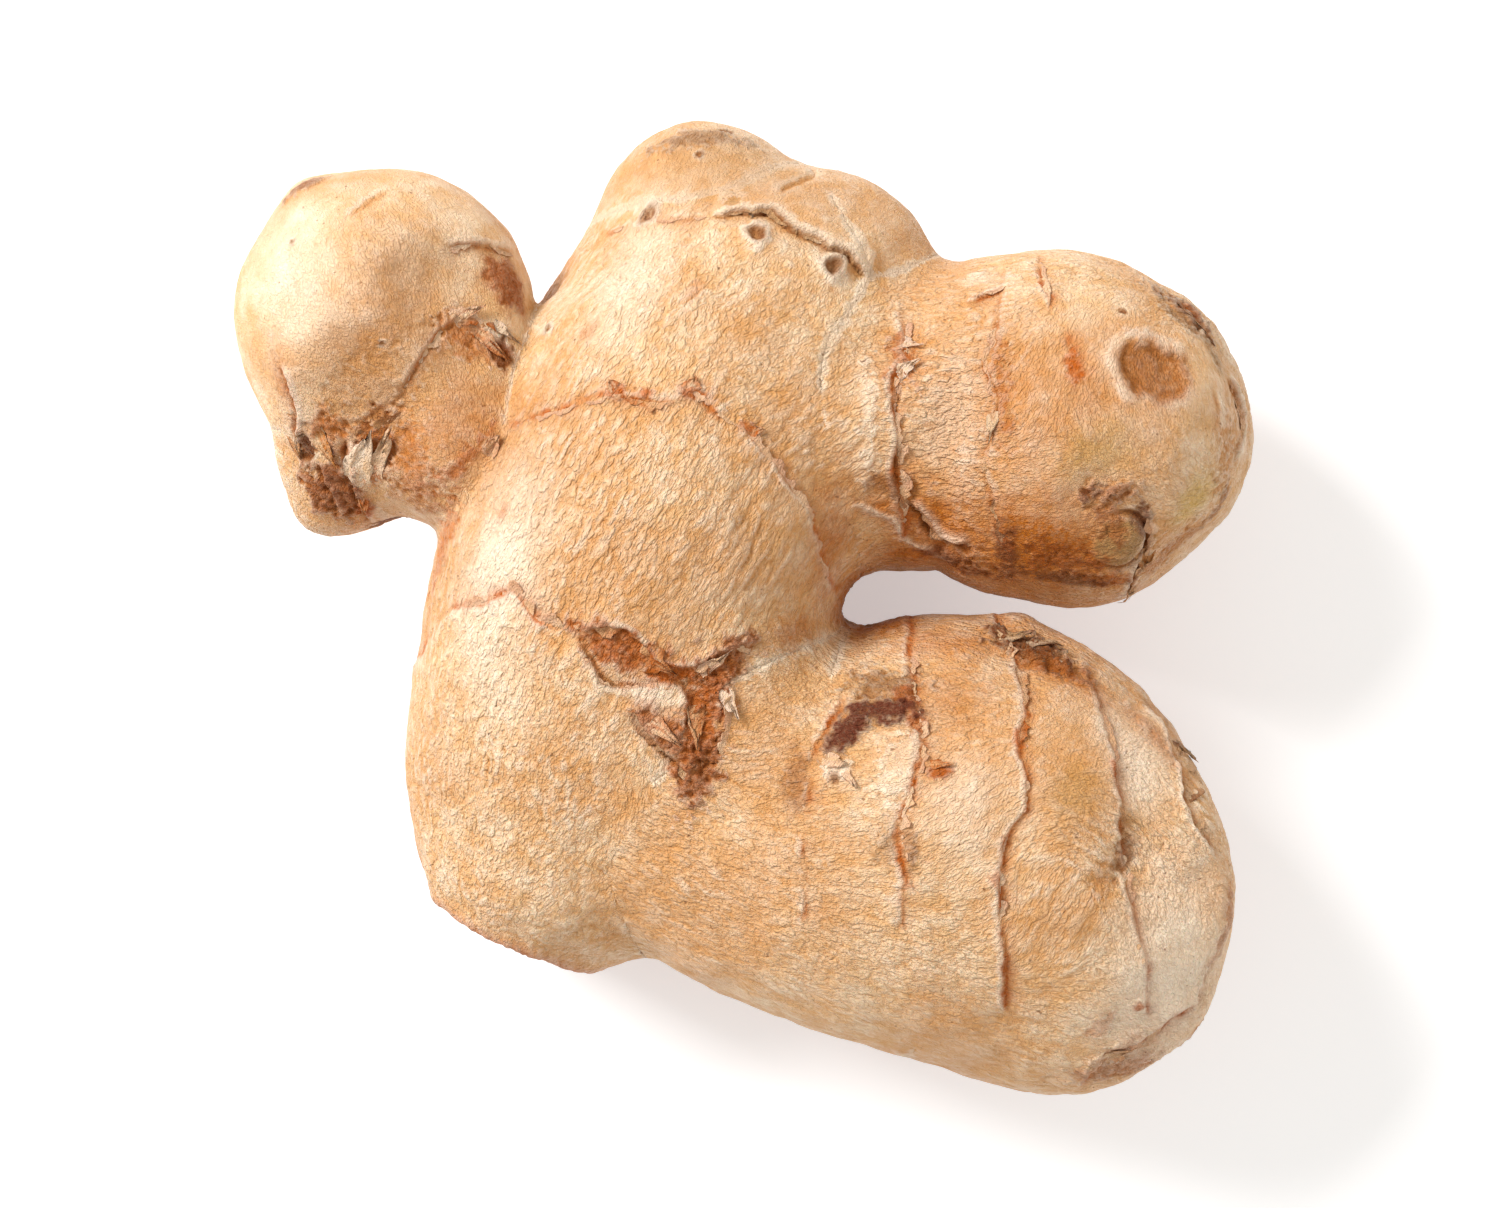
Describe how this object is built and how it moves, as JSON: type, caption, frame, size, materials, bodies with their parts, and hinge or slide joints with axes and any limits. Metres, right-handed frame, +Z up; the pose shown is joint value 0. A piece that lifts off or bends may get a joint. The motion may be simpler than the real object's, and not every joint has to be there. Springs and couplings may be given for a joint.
{
  "type": "ginger root",
  "caption": "Fresh whole ginger root: a branching hand with a round knob, a crown and thick fingers, lying on its broad side.",
  "frame": {"origin": "on the table, under the middle of the root's bounding box", "axes": "+X from the round knob to the two thick fingers, +Y towards the crown, +Z up from the table"},
  "size_m": [0.105, 0.1016, 0.04],
  "materials": {
    "skin": "thin tan skin, finely wrinkled, half matte, with brown node lines and papery scale scars"
  },
  "bodies": {
    "root": {"ginger_rhizome": "skin"}
  },
  "joints": []
}
